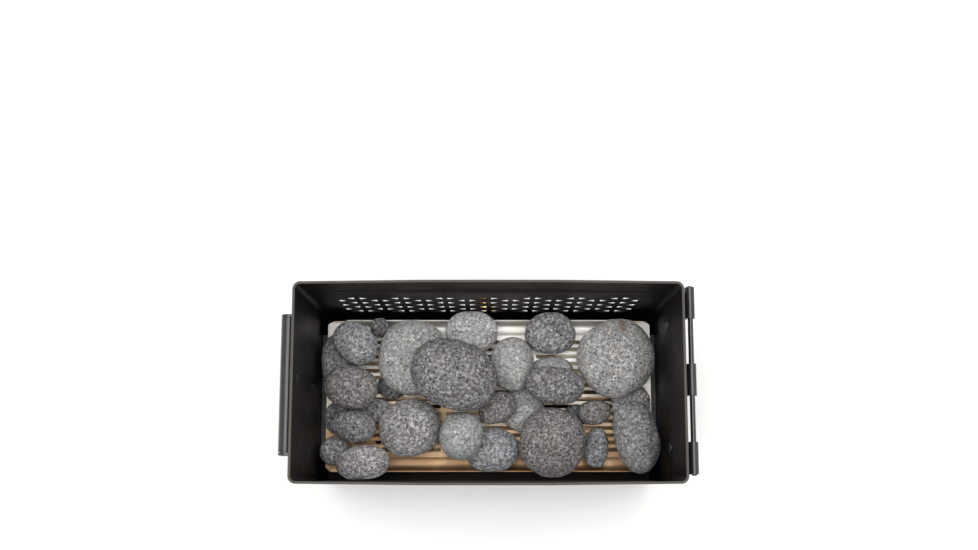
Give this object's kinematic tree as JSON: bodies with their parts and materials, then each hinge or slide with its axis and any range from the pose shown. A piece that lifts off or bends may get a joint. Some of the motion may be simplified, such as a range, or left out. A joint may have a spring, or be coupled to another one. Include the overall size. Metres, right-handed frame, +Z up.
{
  "type": "gas stone heater box",
  "caption": "Open steel box with vented long walls, a gas burner pan and a slotted tray that carries a bed of rounded lava stones.",
  "frame": {"origin": "middle of the underside of the steel box, which stands on the ground", "axes": "+X along the box towards its hinge end, +Y across it towards the wall with the gas inlet, +Z up"},
  "size_m": [0.3076, 0.1647, 0.18],
  "materials": {
    "black_paint": "satin black baked paint",
    "dark_steel": "satin dark grey paint worn on its edges",
    "stainless": "bright cold-rolled stainless steel",
    "heated_steel": "stainless steel tinted gold and brown by heat",
    "brass": "turned brass",
    "stone_light": "matt, finely pitted light grey",
    "stone_grey": "matt, speckled mid grey",
    "stone_dark": "matt, pitted dark grey",
    "stone_brown": "matt, pitted brownish grey",
    "stone_blue": "matt, pitted bluish grey",
    "stone_green": "matt, pitted greenish grey"
  },
  "bodies": {
    "can": {"can_body": "black_paint", "hinge_leaf": "dark_steel", "hinge_pin": "dark_steel", "hinge_rivet_front": "stainless", "hinge_rivet_back": "stainless", "latch_bracket": "dark_steel", "latch_pivot_tube": "dark_steel", "burner_pan": "heated_steel", "pan_support_left": "dark_steel", "pan_support_right": "dark_steel", "support_rivet_left_front": "dark_steel", "support_rivet_left_back": "dark_steel", "support_rivet_right_front": "dark_steel", "support_rivet_right_back": "dark_steel", "burner_tube": "stainless", "burner_cap_left": "stainless", "burner_cap_right": "stainless", "burner_saddle_left": "stainless", "burner_saddle_right": "stainless", "mixer_tube": "stainless", "gas_jet": "brass", "gas_inlet": "brass", "bulkhead_washer": "brass", "bulkhead_nut": "brass"},
    "latch_lever": {"latch_lever": "dark_steel"},
    "latch_bail": {"latch_bail": "dark_steel"},
    "tray": {"stone_tray": "stainless"},
    "stones": {"lava_stone_01": "stone_blue", "lava_stone_02": "stone_blue", "lava_stone_03": "stone_grey", "lava_stone_04": "stone_dark", "lava_stone_05": "stone_grey", "lava_stone_06": "stone_light", "lava_stone_07": "stone_light", "lava_stone_08": "stone_dark", "lava_stone_09": "stone_blue", "lava_stone_10": "stone_blue", "lava_stone_11": "stone_light", "lava_stone_12": "stone_light", "lava_stone_13": "stone_grey", "lava_stone_14": "stone_brown", "lava_stone_15": "stone_grey", "lava_stone_16": "stone_light", "lava_stone_17": "stone_light", "lava_stone_18": "stone_dark", "lava_stone_19": "stone_green", "lava_stone_20": "stone_brown", "lava_stone_21": "stone_brown", "lava_stone_22": "stone_grey", "lava_stone_23": "stone_grey", "lava_stone_24": "stone_dark", "lava_stone_25": "stone_dark", "lava_stone_26": "stone_blue", "lava_stone_27": "stone_brown", "lava_stone_28": "stone_dark", "lava_stone_29": "stone_dark"}
  },
  "joints": [
    {"name": "latch_lever_swing", "type": "hinge", "parent": "can", "child": "latch_lever", "pos_m": [-0.1494, 0, 0.152], "axis": [0, 1, 0], "range_deg": [0, 150]},
    {"name": "latch_bail_swing", "type": "hinge", "parent": "latch_lever", "child": "latch_bail", "pos_m": [-0.15, 0, 0.134], "axis": [0, -1, 0], "range_deg": [-45, 0]},
    {"name": "tray_lift", "type": "slide", "parent": "can", "child": "tray", "axis": [0, 0, 1], "range_m": [0, 0.135]},
    {"name": "stones_lift", "type": "slide", "parent": "tray", "child": "stones", "axis": [0, 0, 1], "range_m": [0, 0.1]}
  ]
}
